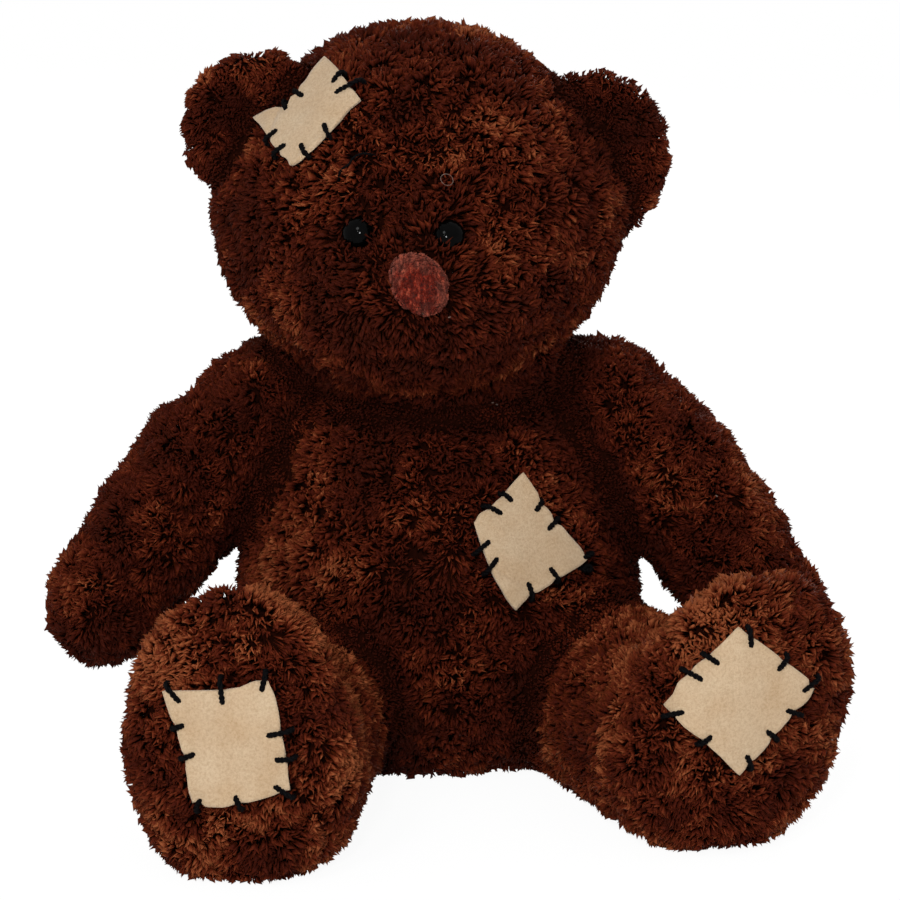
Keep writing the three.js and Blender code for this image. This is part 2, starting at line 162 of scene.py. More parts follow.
def objectPlace(tree):
    return addNode(tree, "ShaderNodeTexCoord").outputs["Object"]


def cloudy(tree, place, scale, detail=2.0, roughness=0.5, distortion=0.0):
    return result(tree, "ShaderNodeTexNoise", {
        "Vector": place, "Scale": scale, "Detail": detail, "Roughness": roughness, "Distortion": distortion,
    })


def bumped(tree, shader, strength, distance, height):
    bump = result(tree, "ShaderNodeBump", {"Strength": strength, "Distance": distance, "Height": height})
    tree.links.new(bump, shader.inputs["Normal"])


def finished(tree, shader, colour, roughness, specular=0.5, sheen=(0.0, 0.5, (1, 1, 1, 1))):
    tree.links.new(colour, shader.inputs["Base Color"])
    sockets = ("Roughness", "Specular IOR Level", "Sheen Weight", "Sheen Roughness", "Sheen Tint")
    for socket, value in zip(sockets, (roughness, specular, *sheen)):
        shader.inputs[socket].default_value = value


def cloudyMaterial(name, scale, stops, roughness, specular=0.5, bump=None, **texture):
    material, tree, shader = newMaterial(name)
    cloud = cloudy(tree, objectPlace(tree), scale, **texture)
    finished(tree, shader, ramp(tree, cloud, stops), roughness, specular)
    if bump:
        bumped(tree, shader, *bump, cloud)
    return material


# Camera, floor and light

viewPlan = {
    "aim": Vector((3.4, 0, 87.3)) * mm,
    "distance": 1.0,
    "elevation": 12,
    "lens": 140,
    "sensor": 36,
}


def placeCamera(plan):
    data = bpy.data.cameras.new("camera")
    data.lens = plan["lens"]
    data.sensor_width = plan["sensor"]
    camera = addObject("camera", data)
    tilt = math.radians(plan["elevation"])
    back = Vector((0, -math.cos(tilt), math.sin(tilt)))
    camera.location = plan["aim"] + back * plan["distance"]
    camera.rotation_euler = (math.pi / 2 - tilt, 0, 0)
    scene.camera = camera


stagePlan = {
    "floorSize": 60,
    "floorColour": (0.95, 0.95, 0.95, 1),
    "floorShows": 0.91,  # how much of the floor is plain white to the camera
    "floorWhite": 1.03,
    "floorRoughness": 0.9,
    "white": (1, 1, 1, 1),
    "skyLight": (0.56, 0.56, 0.56, 1),
    "sun": {"from": (-0.3, -0.8, 0.72), "strength": 0.7, "angle": 14},
    "lamps": [
        # name, place, size, watts
        ("flash", (-0.08, -1.02, 0.46), 0.1, 5.6),
        ("window", (-0.3, -1.0, 0.62), 0.05, 0.6),
        ("back", (0.5, 1.2, 0.8), 0.6, 8.0),
    ],
    "lampAim": (0, 0, 0.1),
}


def isSeen(tree):
    path = addNode(tree, "ShaderNodeLightPath")
    seen = calc(tree, "MAXIMUM", path.outputs["Is Camera Ray"], path.outputs["Is Glossy Ray"])
    return calc(tree, "MAXIMUM", seen, path.outputs["Is Transmission Ray"])


def aimAt(holder, way):
    holder.rotation_euler = way.to_track_quat("-Z", "Y").to_euler()


def setStage(plan):
    world = bpy.data.worlds.new("studio")
    world.use_nodes = True
    scene.world = world
    tree = world.node_tree
    background = tree.nodes["Background"]
    shown = mixColours(tree, isSeen(tree), plan["skyLight"], plan["white"])
    tree.links.new(shown, background.inputs["Color"])

    bm = bmesh.new()
    bmesh.ops.create_grid(bm, x_segments=1, y_segments=1, size=plan["floorSize"] / 2)
    floor = addObject("floor", meshOf("floor", bm))
    material, tree, shader = newMaterial("floor_white")
    shader.inputs["Base Color"].default_value = plan["floorColour"]
    shader.inputs["Roughness"].default_value = plan["floorRoughness"]
    white = result(tree, "ShaderNodeEmission", {"Color": plan["white"], "Strength": plan["floorWhite"]})
    shows = times(tree, isSeen(tree), plan["floorShows"])
    mix = result(tree, "ShaderNodeMixShader", {0: shows, 1: shader.outputs[0], 2: white})
    tree.links.new(mix, tree.nodes["Material Output"].inputs["Surface"])
    floor.data.materials.append(material)

    sun = bpy.data.lights.new("sun", "SUN")
    sun.energy = plan["sun"]["strength"]
    sun.angle = math.radians(plan["sun"]["angle"])
    holder = addObject("sun", sun)
    aimAt(holder, -Vector(plan["sun"]["from"]))
    for name, place, size, watts in plan["lamps"]:
        lamp = bpy.data.lights.new(name, "AREA")
        lamp.size = size
        lamp.energy = watts
        holder = addObject(name, lamp)
        holder.location = place
        aimAt(holder, Vector(plan["lampAim"]) - Vector(place))


scene.view_settings.view_transform = "Standard"
placeCamera(viewPlan)
setStage(stagePlan)
print("stage is set")


# Materials of the cloth

furPlan = {
    "colours": [  # from the root of a lock to its tip: darker towards the root as painted shade deep in the pile, lighter at the tip as the fibre's own colour
        (0.0, rgb(26, 7, 3)), (0.3, rgb(41, 11, 5)), (0.62, rgb(61, 18, 8)), (0.82, rgb(90, 34, 16)),
        (1.0, rgb(136, 74, 43)),
    ],
    "streaks": (7.0, 7.0, 1.6),  # fibres that show across one lock, and along it
    "apart": 61.0,  # how far they differ from lock to lock
    "byLength": 0.56,  # what makes a point lighter: how far it is up its lock (painted shade towards the root),
    "byTone": 0.62,  # the lock's own tone,
    "byFibres": 0.5,  # and the fibre that it is on
    "darker": 0.1,
    "roughness": 0.62,
    "specular": 0.03,
    "sheen": (0.06, 0.4, rgb(220, 105, 45)),  # weight, roughness, tint
    "bump": (0.55, 0.15 * mm),  # strength, distance
}

backingPlan = {
    "knitScale": 900.0,
    "colours": [(0.0, rgb(32, 10, 5)), (1.0, rgb(20, 6, 3))],
    "roughness": 0.95,
    "bump": (0.5, 0.3 * mm),
}


def furMaterial(plan):
    material, tree, shader = newMaterial("brown_pile")
    tone = addNode(tree, "ShaderNodeAttribute", attribute_name="tone").outputs["Fac"]
    spot = addNode(tree, "ShaderNodeAttribute", attribute_name="spot").outputs["Vector"]
    share = partsOf(tree, spot)["Z"]
    apart = times(tree, tone, plan["apart"])
    moved = vectorCalc(tree, "MULTIPLY", spot, plan["streaks"])
    moved = vectorPlus(tree, moved, vectorOf(tree, apart, z=apart))
    fibres = cloudy(tree, moved, 1.0, detail=1.0)
    depth = plus(tree, times(tree, share, plan["byLength"]), times(tree, tone, plan["byTone"]))
    depth = plus(tree, depth, times(tree, minus(tree, fibres, 0.5), plan["byFibres"]))
    depth = minus(tree, depth, plan["darker"], clamp=True)
    colour = ramp(tree, depth, plan["colours"])
    finished(tree, shader, colour, plan["roughness"], plan["specular"], plan["sheen"])
    bumped(tree, shader, *plan["bump"], fibres)
    return material


def backingMaterial(plan):
    material, tree, shader = newMaterial("knitted_backing")
    knit = result(tree, "ShaderNodeTexVoronoi", {"Vector": objectPlace(tree), "Scale": plan["knitScale"]})
    finished(tree, shader, ramp(tree, knit, plan["colours"]), plan["roughness"], specular=0.0)
    bumped(tree, shader, *plan["bump"], knit)
    return material


pile = furMaterial(furPlan)
backing = backingMaterial(backingPlan)


# Skins: one closed, evenly meshed skin from a cover and its filling

skinPlan = {
    "voxel": 2.4 * mm,
    "smoothing": 6,
    "depth": 4.4 * mm,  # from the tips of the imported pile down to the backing
    "earDepth": 2.2 * mm,  # the same on the ears, which are thin
    "seatDepth": 3.2 * mm,  # the same where the bear sits on it
    "seamDepth": -0.9 * mm,  # the same where a neighbour is sewn on
    "seatHeight": 0.15 * mm,  # the backing stays this far over the floor
    "openNear": 0.4 * mm,  # no pile grows between two pieces that are sewn together
    "openFar": 1.4 * mm,
    "eyeNear": 2.9 * mm,  # nor under an eye
    "eyeFar": 3.8 * mm,
    "eyeLength": 10 * mm,  # along its axis
    "shadeNear": 1.5 * mm,  # painted shade: pile is darker towards a seam
    "shadeFar": 11 * mm,
    "chinNear": 12 * mm,  # and painted shadow on the chest under the chin
    "chinFar": 32 * mm,
    "socketNear": 3 * mm,  # painted shade round the eyes
    "socketFar": 8 * mm,
    "hollowNear": 5 * mm,  # and painted shade in the hollow of an ear
    "hollowFar": 12 * mm,
    "socketShade": 0.2,  # the darkest painted shade of each
    "chinShade": 0.3,
    "hollowShade": 0.15,
    "seamNear": 0.9 * mm,  # from the depth at a seam to the full depth
    "seamFar": 6.5 * mm,
}


def copyOf(names):
    bm = bmesh.new()
    for name in names:
        bm.from_mesh(nodes[name].data)
    bmesh.ops.remove_doubles(bm, verts=bm.verts, dist=weldDistance)
    return bm


def biggestPart(bm):
    left = set(bm.verts)
    parts = []
    while left:
        found = [left.pop()]
        for vert in found:
            for edge in vert.link_edges:
                other = edge.other_vert(vert)
                if other in left:
                    left.remove(other)
                    found.append(other)
        parts.append(found)
    parts.sort(key=len)
    loose = [vert for part in parts[:-1] for vert in part]
    bmesh.ops.delete(bm, geom=loose, context="VERTS")


def applied(piece):
    graph = bpy.context.evaluated_depsgraph_get()
    mesh = bpy.data.meshes.new_from_object(piece.evaluated_get(graph), depsgraph=graph)
    bpy.data.objects.remove(piece)
    return mesh


def evenSkin(names, plan):
    piece = addObject("skin", meshOf("skin", copyOf(names)))
    remesh = piece.modifiers.new("remesh", "REMESH")
    remesh.mode = "VOXEL"
    remesh.voxel_size = plan["voxel"]
    smooth = piece.modifiers.new("smooth", "SMOOTH")
    smooth.iterations = plan["smoothing"]
    bm = bmesh.new()
    bm.from_mesh(applied(piece))
    biggestPart(bm)
    return bm


def pointsOf(name):
    return [vert.co.copy() for vert in nodes[name].data.vertices]


def middleOf(points):
    return sum(points, Vector()) / len(points)


def ease(value, low, high):
    share = min(max((value - low) / (high - low), 0), 1)
    return share * share * (3 - 2 * share)


def between(first, last, share):
    return first + (last - first) * share


filled = ["head", "body", "leg_right", "leg_left", "arm_right", "arm_left"]
pieces = {name: [name + "_cover", name + "_fill"] for name in filled}
pieces["head"] += ["eye_right", "eye_left", "eye_washer_right", "eye_washer_left"]
pieces["ear_right"] = ["ear_right"]
pieces["ear_left"] = ["ear_left"]

skins = {name: evenSkin(names, skinPlan) for name, names in pieces.items()}
print("skins are made:", {name: len(bm.verts) for name, bm in skins.items()})


# The pile's lie: a vector along the skin for each point of it

noseSpot = boxMiddle("nose")


def eyeAxis(side):
    spot = boxMiddle("eye_" + side)
    return spot, (spot - boxMiddle("eye_washer_" + side)).normalized()


eyeAxes = [eyeAxis("right"), eyeAxis("left")]


def offEyeAxis(point):
    reaches = []
    for spot, axis in eyeAxes:
        away = point - spot
        reaches.append(max((away - axis * away.dot(axis)).length, away.length - skinPlan["eyeLength"]))
    return min(reaches)


liePlan = {
    "muzzleNear": 12 * mm,  # the pile of the muzzle lies away from the nose
    "muzzleFar": 34 * mm,
    "muzzle": 0.8,
    "head": Vector((0, -0.08, -0.4)),
    "body": Vector((0, 0, -0.3)),
    "limb": Vector((0, 0, -0.25)),
}


def lieAt(name, point, plan):
    if name != "head":
        return plan.get(name, plan["limb"]).copy()
    away = point - noseSpot
    near = 1 - ease(away.length, plan["muzzleNear"], plan["muzzleFar"])
    return away.normalized() * plan["muzzle"] * near + plan["head"] * (1 - near)


for bm in skins.values():
    bm.normal_update()
packed = {name: BVHTree.FromBMesh(bm) for name, bm in skins.items()}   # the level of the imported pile


def sinkSkin(name, plan):
    bm = skins[name]
    trees = [packed[other] for other in packed if other != name]
    hollow = middleOf([vert.co for vert in bm.verts])
    notes = []
    for vert in bm.verts:
        point = vert.co.copy()
        normal = vert.normal.copy()
        away = min(tree.find_nearest(point)[3] for tree in trees)
        seam = ease(away, plan["seamNear"], plan["seamFar"])
        depth = between(plan["seamDepth"], plan["depth"], seam)
        if normal.z < -0.5:
            depth = min(depth, plan["seatDepth"] + point.z)
        if name.startswith("ear"):
            depth = min(depth, plan["earDepth"])
        flow = lieAt(name, point, liePlan)
        flow -= normal * flow.dot(normal)
        open = ease(away, plan["openNear"], plan["openFar"])
        # Painted shade: darker towards a seam, round the eyes, on the chest under the chin and in the hollow
        # of an ear.
        shade = ease(away, plan["shadeNear"], plan["shadeFar"])
        if name == "head":
            offEye = offEyeAxis(point)
            open *= ease(offEye, plan["eyeNear"], plan["eyeFar"])
            shade = min(shade, plan["socketShade"] + ease(offEye, plan["socketNear"], plan["socketFar"]))
        if name == "body":
            chin = packed["head"].find_nearest(point)[3]
            shade *= between(plan["chinShade"], 1, ease(chin, plan["chinNear"], plan["chinFar"]))
        if name.startswith("ear"):
            inside = ease((point - hollow).length, plan["hollowNear"], plan["hollowFar"])
            shade = between(plan["hollowShade"], 1, inside)
        sunk = point - normal * depth
        sunk.z = max(sunk.z, plan["seatHeight"])
        notes.append((sunk, depth, flow, open, shade))
    return notes


def notedMesh(name, bm, notes):
    places, depths, flows, opens, shades = zip(*notes)
    for vert, place in zip(bm.verts, places):
        vert.co = place
    mesh = meshOf(name, bm)
    for note, values in {"depth": depths, "open": opens, "shade": shades}.items():
        mesh.attributes.new(note, "FLOAT", "POINT").data.foreach_set("value", values)
    lies = mesh.attributes.new("lie", "FLOAT_VECTOR", "POINT")
    lies.data.foreach_set("vector", [part for flow in flows for part in flow])
    mesh.shade_smooth()
    return mesh


# One lock of pile: a closed blade of four faces. Z runs from 0 at its root to 1 at its tip, X across it
# and Y out of the skin.

def lockMesh(belly=0.7, thickness=0.3):
    bm = bmesh.new()
    for x, y, z in ((0, -thickness, 0), (-1, thickness, belly), (1, thickness, belly), (0, -thickness, 1)):
        bm.verts.new((x, y, z))
    bmesh.ops.convex_hull(bm, input=bm.verts)
    bmesh.ops.recalc_face_normals(bm, faces=bm.faces)
    return meshOf("lock", bm)


lock = addObject("lock", lockMesh())
lock.hide_render = True

# What lies on the pile and presses it down

laidNames = ["head_patch", "belly_patch", "foot_patch_right", "foot_patch_left", "nose"]
laid = addObject("laid", meshOf("laid", copyOf(laidNames)))
laid.hide_render = True


pilePlan = {
    "pitch": 0.53 * mm,  # between locks
    "tuftPitch": 4.0 * mm,  # between tufts
    "tuftReach": 2.6 * mm,
    "dome": 0.3,  # how much shorter the locks at the rim of a tuft are
    "spread": 0.55,  # how far they lean outwards
    "valleyShade": 0.2,  # how much darker they are: painted shade in the valleys between tufts
    "overshoot": 1.4 * mm,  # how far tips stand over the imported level
    "shortest": 2.4 * mm,
    "crowding": 2.2,  # places that are tried for each lock
    "lowest": 0.08 * mm,  # the pile stays this far over the floor
    "press": 0.3 * mm,  # and this far under what lies on it
    "pressed": 0.1,  # the least of a lock's length that is left there
    "lengths": (0.86, 1.06),  # shares of the pile's height, from lock to lock
    "girth": 0.285 * mm,  # half the width of a lock
    "girths": (0.7, 1.25),  # shares of it, from lock to lock
    "swirl": 1.5,  # how far the pile lies over in swirls
    "swirlScale": 95.0,
    "tuftLean": 0.5,
    "ownLean": 0.36,
    "gather": 0.1,  # how far locks close up to the tip of their tuft, on average
    "twist": 0.6,
    "arches": (0.104, 0.39),  # how far a lock bows out, as a share of its length
    "sway": 0.2,
    "rimEnd": 1.25,  # how far out, in reaches, a tuft gets lower and darker with painted shade
    "rimLevel": 0.3,
    "sharedTone": 0.26,  # how much of a lock's tone is its tuft's,
    "ownTone": 0.28,  # its own,
    "patchTone": 0.52,  # and that of the patch it is in
    "patchScale": 42.0,
    "patchEnds": (0.36, 0.64),
    "lighter": 0.0,
    "paintedTopLight": 0.12,  # painted light: how much lighter the pile is that faces up
    # painted shade: how much darker the pile is towards seams, under the chin, round the eyes and in an ear's
    # hollow
    "seamShade": 0.52,
    "seed": 11,
}

# What each part of the bear has of its own. The lighter values are partly the pile's own tone and partly
# painted light, which makes the legs lighter and the arms darker as a whole.
ownPile = {
    "head": {"pitch": 0.615 * mm, "girth": 0.305 * mm},  # the first two stay under 200,000 triangles
    "body": {"pitch": 0.585 * mm, "paintedTopLight": 0.47},
    "leg_right": {"pitch": 0.515 * mm, "lighter": 0.23},
    "leg_left": {"pitch": 0.515 * mm, "lighter": 0.19, "paintedTopLight": 0.2},
    "arm_right": {"pitch": 0.46 * mm, "lighter": -0.03},
    "arm_left": {"pitch": 0.46 * mm, "lighter": -0.03},
    "ear_right": {"pitch": 0.42 * mm, "overshoot": 2.5 * mm, "lighter": 0.08},
    "ear_left": {"pitch": 0.42 * mm, "overshoot": 2.2 * mm},
}


# The bake map: tone runs across it and the lock's length up it. The backing has a strip at its side.
bakePlan = {
    "across": (0.03, 0.97),
    "blade": 0.006,
    "up": (0.02, 0.98),
    "stripScale": (0.06, 0.0, 4.3),
    "stripStart": (0.987, 0.0, 0.03),
}


def randomVector(tree, seed, size=1.0):
    inputs = {0: (-size,) * 3, 1: (size,) * 3, 8: seed}
    return result(tree, "FunctionNodeRandomValue", inputs, data_type="FLOAT_VECTOR")


def randomShare(tree, seed, low=0.0, high=1.0):
    inputs = {2: low, 3: high, 8: seed}
    return addNode(tree, "FunctionNodeRandomValue", inputs, data_type="FLOAT").outputs[1]


def named(tree, name, kind="FLOAT"):
    return shaped(tree, "InputNamedAttribute", {"Name": name}, data_type=kind)


def stored(tree, geometry, name, value, kind="FLOAT", domain="POINT"):
    inputs = {"Geometry": geometry, "Name": name, "Value": value}
    return shaped(tree, "StoreNamedAttribute", inputs, data_type=kind, domain=domain)


def shapeOf(tree, piece):
    return addNode(tree, "GeometryNodeObjectInfo", {"Object": piece}).outputs["Geometry"]


def sampled(tree, geometry, value, index, kind="FLOAT_VECTOR"):
    inputs = {"Geometry": geometry, "Value": value, "Index": index}
    return shaped(tree, "SampleIndex", inputs, data_type=kind, domain="POINT")


def scattered(tree, skin, pitch, crowding, seed):
    return addNode(tree, "GeometryNodeDistributePointsOnFaces", {
        "Mesh": skin, "Distance Min": pitch, "Density Max": crowding / pitch ** 2,
        "Density Factor": named(tree, "open"), "Seed": seed,
    }, distribute_method="POISSON").outputs


def pileHeight(tree, depth, plan):
    return calc(tree, "MAXIMUM", plus(tree, depth, plan["overshoot"]), plan["shortest"])


def tuftTip(tree, place, normal, depth, flow, wander, plan):
    lean = vectorPlus(tree, flow, scaled(tree, wander, plan["tuftLean"]))
    way = vectorCalc(tree, "NORMALIZE", vectorPlus(tree, normal, lean))
    return vectorPlus(tree, place, scaled(tree, way, pileHeight(tree, depth, plan)))


def freeShare(tree, place, reach, laidOn, plan):
    span = vectorCalc(tree, "LENGTH", reach)
    ray = addNode(tree, "GeometryNodeRaycast", {
        "Target Geometry": shapeOf(tree, laidOn),
        "Source Position": place,
        "Ray Direction": vectorCalc(tree, "NORMALIZE", reach),
        "Ray Length": span,
    })
    free = calc(tree, "DIVIDE", minus(tree, ray.outputs["Hit Distance"], plan["press"]), span)
    free = calc(tree, "MAXIMUM", free, plan["pressed"])
    return result(tree, "ShaderNodeMix", {0: ray.outputs["Is Hit"], 2: 1.0, 3: free}, data_type="FLOAT")


def pileTree(plan, pileFinish, skinFinish, laidOn):
    tree = bpy.data.node_groups.new("pile", "GeometryNodeTree")
    tree.interface.new_socket("Geometry", in_out="INPUT", socket_type="NodeSocketGeometry")
    tree.interface.new_socket("Geometry", in_out="OUTPUT", socket_type="NodeSocketGeometry")
    skin = addNode(tree, "NodeGroupInput").outputs[0]
    seed = plan["seed"]

    tufts = scattered(tree, skin, plan["tuftPitch"], plan["crowding"], seed)
    roots = scattered(tree, skin, plan["pitch"], plan["crowding"], seed + 1)
    place = shaped(tree, "InputPosition")
    depth = named(tree, "depth")
    whirl = addNode(tree, "ShaderNodeTexNoise", {"Vector": place, "Scale": plan["swirlScale"], "Detail": 1.0})
    whirl = vectorCalc(tree, "SUBTRACT", whirl.outputs["Color"], (0.5, 0.5, 0.5))
    whirl = scaled(tree, whirl, 2 * plan["swirl"])
    upright = vectorCalc(tree, "PROJECT", whirl, shaped(tree, "InputNormal"))
    whirl = vectorCalc(tree, "SUBTRACT", whirl, upright)
    flow = vectorPlus(tree, named(tree, "lie", "FLOAT_VECTOR"), whirl)

    # Each tuft has one tip that its locks close up to.
    wander = randomVector(tree, seed + 2)
    shared = tuftTip(tree, place, tufts["Normal"], depth, flow, wander, plan)
    nearest = shaped(tree, "SampleNearest", {"Geometry": tufts["Points"]})
    sharedTip = sampled(tree, tufts["Points"], shared, nearest)
    sharedWander = sampled(tree, tufts["Points"], wander, nearest)
    sharedTone = sampled(tree, tufts["Points"], randomShare(tree, seed + 3), nearest, "FLOAT")

    lean = vectorPlus(tree, flow, scaled(tree, sharedWander, plan["tuftLean"]))
    lean = vectorPlus(tree, lean, randomVector(tree, seed + 4, plan["ownLean"]))
    outward = vectorCalc(tree, "SUBTRACT", place, sampled(tree, tufts["Points"], place, nearest))
    outward = scaled(tree, outward, 1 / plan["tuftReach"])
    lean = vectorPlus(tree, lean, scaled(tree, outward, plan["spread"]))
    rim = calc(tree, "MINIMUM", vectorCalc(tree, "LENGTH", outward), plan["rimEnd"])
    rim = times(tree, rim, rim)
    way = vectorCalc(tree, "NORMALIZE", vectorPlus(tree, roots["Normal"], lean))
    tall = times(tree, pileHeight(tree, depth, plan), randomShare(tree, seed + 5, *plan["lengths"]))
    tall = times(tree, tall, minus(tree, 1.0, times(tree, rim, plan["dome"])))
    ownReach = scaled(tree, way, tall)
    sharedReach = vectorCalc(tree, "SUBTRACT", sharedTip, place)
    gather = randomShare(tree, seed + 6, 0.0, 2 * plan["gather"])
    blend = addNode(tree, "ShaderNodeMix", {0: gather, 4: ownReach, 5: sharedReach}, data_type="VECTOR")
    reach = blend.outputs[1]

    if laidOn:
        reach = scaled(tree, reach, freeShare(tree, place, reach, laidOn, plan))

    # A lock arches away from the skin, and turns its flat side to it.
    span = vectorCalc(tree, "LENGTH", reach)
    turned = vectorPlus(tree, roots["Normal"], randomVector(tree, seed + 7, plan["twist"]))
    side = vectorCalc(tree, "NORMALIZE", vectorCalc(tree, "CROSS_PRODUCT", reach, turned))
    out = vectorCalc(tree, "NORMALIZE", vectorCalc(tree, "CROSS_PRODUCT", side, reach))
    arch = times(tree, span, randomShare(tree, seed + 10, *plan["arches"]))
    sway = times(tree, span, randomShare(tree, seed + 11, -plan["sway"], plan["sway"]))
    bend = vectorPlus(tree, scaled(tree, out, arch), scaled(tree, side, sway))
    girth = randomShare(tree, seed + 9, *(plan["girth"] * share for share in plan["girths"]))

    patchy = fromTo(tree, cloudy(tree, place, plan["patchScale"]), *plan["patchEnds"])
    tone = times(tree, sharedTone, plan["sharedTone"])
    rare = calc(tree, "POWER", randomShare(tree, seed + 8), 2.0)
    # Painted light and shade in the tone: lighter where the pile faces up, darker in the valleys between tufts
    # and where the skin's shade note is low.
    facesUp = calc(tree, "MAXIMUM", partsOf(tree, roots["Normal"])["Z"], 0.0)
    inside = minus(tree, plan["rimLevel"], rim)
    atSeam = minus(tree, named(tree, "shade"), 1.0)
    shares = {"ownTone": rare, "patchTone": patchy, "paintedTopLight": facesUp, "valleyShade": inside, "seamShade": atSeam}
    for weight, share in shares.items():
        tone = plus(tree, tone, times(tree, share, plan[weight]))
    tone = plus(tree, tone, plan["lighter"], clamp=True)

    points = stored(tree, roots["Points"], "tone", tone)
    side = scaled(tree, side, girth)
    out = scaled(tree, out, girth)
    for part, value in {"root": place, "reach": reach, "bend": bend, "side": side, "out": out}.items():
        points = stored(tree, points, part, value, "FLOAT_VECTOR")

    strand = stored(tree, shapeOf(tree, lock), "spot", place, "FLOAT_VECTOR")
    grown = shaped(tree, "InstanceOnPoints", {"Points": points, "Instance": strand})
    grown = shaped(tree, "RealizeInstances", {0: grown})

    # What a lock was given at its root says where each of its points goes.
    spot = partsOf(tree, named(tree, "spot", "FLOAT_VECTOR"))
    along = spot["Z"]
    hump = times(tree, times(tree, along, 4.0), minus(tree, 1.0, along))
    goal = named(tree, "root", "FLOAT_VECTOR")
    for part, share in {"reach": along, "bend": hump, "side": spot["X"], "out": spot["Y"]}.items():
        goal = vectorPlus(tree, goal, scaled(tree, named(tree, part, "FLOAT_VECTOR"), share))
    goal = vectorCalc(tree, "MAXIMUM", goal, (-9, -9, plan["lowest"]))
    grown = shaped(tree, "SetPosition", {"Geometry": grown, "Position": goal})

    across = fromTo(tree, named(tree, "tone"), 0.0, 1.0, *bakePlan["across"])
    across = plus(tree, across, times(tree, spot["X"], bakePlan["blade"]))
    up = fromTo(tree, along, 0.0, 1.0, *bakePlan["up"])
    grown = stored(tree, grown, "OFBake", vectorOf(tree, across, up), "FLOAT2", "CORNER")
    for spent in ("root", "reach", "bend", "side", "out", "lie", "open", "shade", "depth"):
        grown = shaped(tree, "RemoveAttribute", {"Geometry": grown, "Name": spent})
    grown = shaped(tree, "SetShadeSmooth", {"Geometry": grown})
    grown = shaped(tree, "SetMaterial", {"Geometry": grown, "Material": pileFinish})
    strip = vectorCalc(tree, "MULTIPLY", place, bakePlan["stripScale"])
    strip = partsOf(tree, vectorPlus(tree, strip, bakePlan["stripStart"]))
    skin = stored(tree, skin, "OFBake", vectorOf(tree, strip["X"], strip["Z"]), "FLOAT2", "CORNER")
    skin = shaped(tree, "SetMaterial", {"Geometry": skin, "Material": skinFinish})
    both = addNode(tree, "GeometryNodeJoinGeometry")
    tree.links.new(skin, both.inputs[0])
    tree.links.new(grown, both.inputs[0])
    tree.links.new(both.outputs[0], addNode(tree, "NodeGroupOutput").inputs[0])
    return tree


def grownOn(name, mesh, plan, pileFinish, skinFinish, laidOn):
    piece = addObject(name, mesh)
    grower = piece.modifiers.new("pile", "NODES")
    grower.node_group = pileTree(plan, pileFinish, skinFinish, laidOn)
    mesh = applied(piece)
    mesh.calc_loop_triangles()
    print(name, "has", len(mesh.loop_triangles), "triangles")
    return mesh


def growPile(name, plan):
    mesh = grownOn(name, meshes[name], plan, pile, backing, laid)
    piece = addObject(name + "_plush", mesh)
    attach(piece, "root")
    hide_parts(pieces[name][0])


notes = {name: sinkSkin(name, skinPlan) for name in skins}
meshes = {name: notedMesh(name, skins[name], notes[name]) for name in skins}
print("backing is sunk")
for i, name in enumerate(pieces):
    growPile(name, {**pilePlan, **ownPile[name], "seed": pilePlan["seed"] + 20 * i})

bpy.data.objects.remove(laid)
print("pile is grown")


# Where the camera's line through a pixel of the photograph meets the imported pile

frameSize = 900


def pixelSpot(pixel, trees):
    tilt = math.radians(viewPlan["elevation"])
    ahead = Vector((0, math.cos(tilt), -math.sin(tilt)))
    upward = Vector((0, math.sin(tilt), math.cos(tilt)))
    scale = viewPlan["sensor"] / viewPlan["lens"] / frameSize
    eye = viewPlan["aim"] - ahead * viewPlan["distance"]
    way = ahead + Vector((1, 0, 0)) * (pixel[0] - frameSize / 2) * scale
    way += upward * (frameSize / 2 - pixel[1]) * scale
    hits = [tree.ray_cast(eye, way.normalized()) for tree in trees]
    hits = [hit for hit in hits if hit[0] is not None]
    return min(hits, key=lambda hit: hit[3])[:2]


# Felt patches

feltPlan = {
    "cuts": 3,
    "wave": 0.25 * mm,  # how far the felt lies up and down
    "waveLength": 9 * mm,
    "pinch": 0.45 * mm,  # how far a stitch pulls the felt down
    "pinchReach": 2.4 * mm,
    "pull": 1.7 * mm,  # how far a stitch draws the edge in
    "pullReach": 2.4 * mm,
    "curl": 0.35 * mm,  # how far the edge stands up between stitches
    "edge": 2.2 * mm,
    "crease": 0.9 * mm,
    "creaseReach": 1.5 * mm,
    "round": 2.0 * mm,  # how far a worn corner is drawn in
    "roundReach": 5.5 * mm,
    "redrawReach": 10 * mm,
    "settling": 0.3,
    "curlMean": 0.4,
    "curlLength": 4 * mm,
    "pinchNear": 0.4 * mm,
    "cloudScale": 110.0,
    "clouds": [(0.3, rgb(175, 149, 118)), (0.5, rgb(180, 156, 127)), (0.72, rgb(184, 162, 134))],
    "fleckScale": 1500.0,
    "flecks": [(0.34, (0.78, 0.74, 0.68, 1)), (0.58, (1, 1, 1, 1))],
    "fleckShare": 0.85,
    "hair": {"Scale": 420.0, "Distortion": 26.0, "Detail": 3.0, "Detail Scale": 1.8},
    "hairs": [(0.0, (0.9, 0.88, 0.85, 1)), (0.6, (1, 1, 1, 1))],
    "hairShare": 0.6,
    "hairHeight": 0.4,
    "bump": (0.5, 0.25 * mm),
    "sheen": (0.2, 0.5, (1, 1, 1, 1)),
}

# node: (flat width and length, what it lies on, names of its stitches)
patches = {
    "head_patch": ((22 * mm, 29 * mm), "head", "head_stitch_"),
    "belly_patch": ((25 * mm, 29 * mm), "body", "belly_stitch_"),
    "foot_patch_right": ((28 * mm, 28.5 * mm), "leg_right", "foot_right_stitch_"),
    "foot_patch_left": ((28 * mm, 31 * mm), "leg_left", "foot_left_stitch_"),
}

# By their pixels in the photograph: a crease between two points, and corners worn round
creases = {"head_patch": ((286, 104), (269, 143)), "belly_patch": ((497, 572), (524, 586))}
wornCorners = {
    "belly_patch": [(465, 518)],
    "head_patch": [(287, 170), (287, 100)],
    "foot_patch_right": [(272, 676), (188, 811)],
    "foot_patch_left": [(818, 686)],
}

